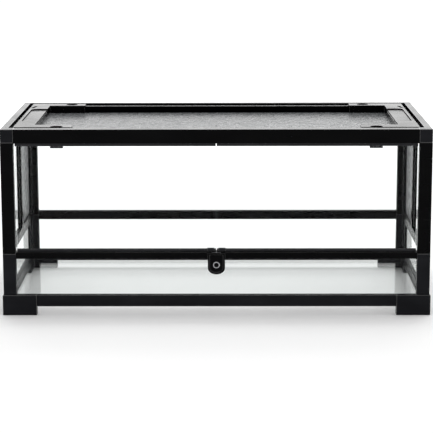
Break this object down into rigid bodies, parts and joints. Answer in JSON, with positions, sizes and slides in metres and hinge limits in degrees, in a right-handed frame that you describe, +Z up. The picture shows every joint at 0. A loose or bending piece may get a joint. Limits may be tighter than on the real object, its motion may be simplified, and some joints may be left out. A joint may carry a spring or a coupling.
{
  "type": "terrarium cabinet",
  "caption": "Front-opening glass terrarium cabinet: black plastic frame on raised corner feet, two hinged glass doors with a lock, side vents and a lift-out screened lid.",
  "frame": {"origin": "centre of the footprint on the ground, under the middle of the base", "axes": "+X along the width to the right as seen from the doors, +Y from the doors to the back, +Z up"},
  "size_m": [0.9168, 0.4588, 0.402],
  "materials": {
    "frame": "black, satin to gloss moulding",
    "corner": "black, slightly greyer gloss moulding",
    "glass": "clear float glass with pale green edges",
    "screen": "fine dark grey wire mesh",
    "lock_steel": "satin plated"
  },
  "bodies": {
    "cabinet": {"base_rail_front": "frame", "corner_foot_front_left": "corner", "lower_post_front_left": "frame", "upper_post_front_left": "frame", "top_corner_front_left": "corner", "corner_foot_front_right": "corner", "lower_post_front_right": "frame", "upper_post_front_right": "frame", "top_corner_front_right": "corner", "base_rail_back": "frame", "corner_foot_back_left": "corner", "lower_post_back_left": "frame", "upper_post_back_left": "frame", "top_corner_back_left": "corner", "corner_foot_back_right": "corner", "lower_post_back_right": "frame", "upper_post_back_right": "frame", "top_corner_back_right": "corner", "lower_glass_front": "glass", "lower_glass_back": "glass", "lower_glass_left": "glass", "lower_glass_right": "glass", "base_rail_left": "frame", "mid_rail_left": "frame", "top_rail_left": "frame", "side_glass_left": "glass", "vent_bar_left": "frame", "vent_screen_left": "screen", "base_rail_right": "frame", "mid_rail_right": "frame", "top_rail_right": "frame", "side_glass_right": "glass", "vent_bar_right": "frame", "vent_screen_right": "screen", "base_glass": "glass", "sill_rail": "frame", "mid_rail_back": "frame", "upper_glass_back": "glass", "top_rail_front": "frame", "top_rail_back": "frame", "lock_body": "corner"},
    "latch_front_left": {"lid_latch_front_left": "frame"},
    "latch_front_right": {"lid_latch_front_right": "frame"},
    "latch_back_left": {"lid_latch_back_left": "frame"},
    "latch_back_right": {"lid_latch_back_right": "frame"},
    "lid": {"lid_end_left": "frame", "lid_end_right": "frame", "lid_rail_front": "frame", "lid_rail_back": "frame", "lid_screen": "screen"},
    "cover_left": {"cable_cover_left": "frame"},
    "door_left": {"door_glass_left": "glass", "door_bottom_strip_left": "frame", "door_top_strip_left": "frame"},
    "cover_right": {"cable_cover_right": "frame"},
    "door_right": {"door_glass_right": "glass", "door_bottom_strip_right": "frame", "door_top_strip_right": "frame"},
    "lock_turn": {"lock_cylinder": "lock_steel"},
    "bolt": {"lock_bolt": "lock_steel"}
  },
  "joints": [
    {"name": "door_left_hinge", "type": "hinge", "parent": "cabinet", "child": "door_left", "pos_m": [-0.421, -0.215, 0.137], "axis": [0, 0, -1], "range_deg": [0, 95]},
    {"name": "door_right_hinge", "type": "hinge", "parent": "cabinet", "child": "door_right", "pos_m": [0.421, -0.215, 0.137], "axis": [0, 0, 1], "range_deg": [0, 95]},
    {"name": "lid_lift", "type": "slide", "parent": "cabinet", "child": "lid", "axis": [0, 0, 1], "range_m": [0, 0.15]},
    {"name": "latch_front_left_turn", "type": "hinge", "parent": "lid", "child": "latch_front_left", "pos_m": [-0.341, -0.18, 0.381], "axis": [0, 0, -1], "range_deg": [0, 90]},
    {"name": "latch_front_right_turn", "type": "hinge", "parent": "lid", "child": "latch_front_right", "pos_m": [0.341, -0.18, 0.381], "axis": [0, 0, 1], "range_deg": [0, 90]},
    {"name": "latch_back_left_turn", "type": "hinge", "parent": "lid", "child": "latch_back_left", "pos_m": [-0.341, 0.192, 0.381], "axis": [0, 0, -1], "range_deg": [0, 90]},
    {"name": "latch_back_right_turn", "type": "hinge", "parent": "lid", "child": "latch_back_right", "pos_m": [0.341, 0.192, 0.381], "axis": [0, 0, 1], "range_deg": [0, 90]},
    {"name": "cover_left_swivel", "type": "hinge", "parent": "lid", "child": "cover_left", "pos_m": [-0.4088, -0.08, 0.396], "axis": [0, 0, -1], "range_deg": [0, 35]},
    {"name": "cover_right_swivel", "type": "hinge", "parent": "lid", "child": "cover_right", "pos_m": [0.4088, -0.08, 0.396], "axis": [0, 0, 1], "range_deg": [0, 35]},
    {"name": "lock_turn", "type": "hinge", "parent": "cabinet", "child": "lock_turn", "pos_m": [0, -0.2227, 0.11], "axis": [0, 1, 0], "range_deg": [0, 90]},
    {"name": "bolt_lift", "type": "slide", "parent": "cabinet", "child": "bolt", "axis": [0, 0, 1], "range_m": [0, 0.0071]}
  ],
  "couplings": [
    {"joint": "bolt_lift", "follows": "lock_turn", "m_per_rad": 0.0044563}
  ]
}
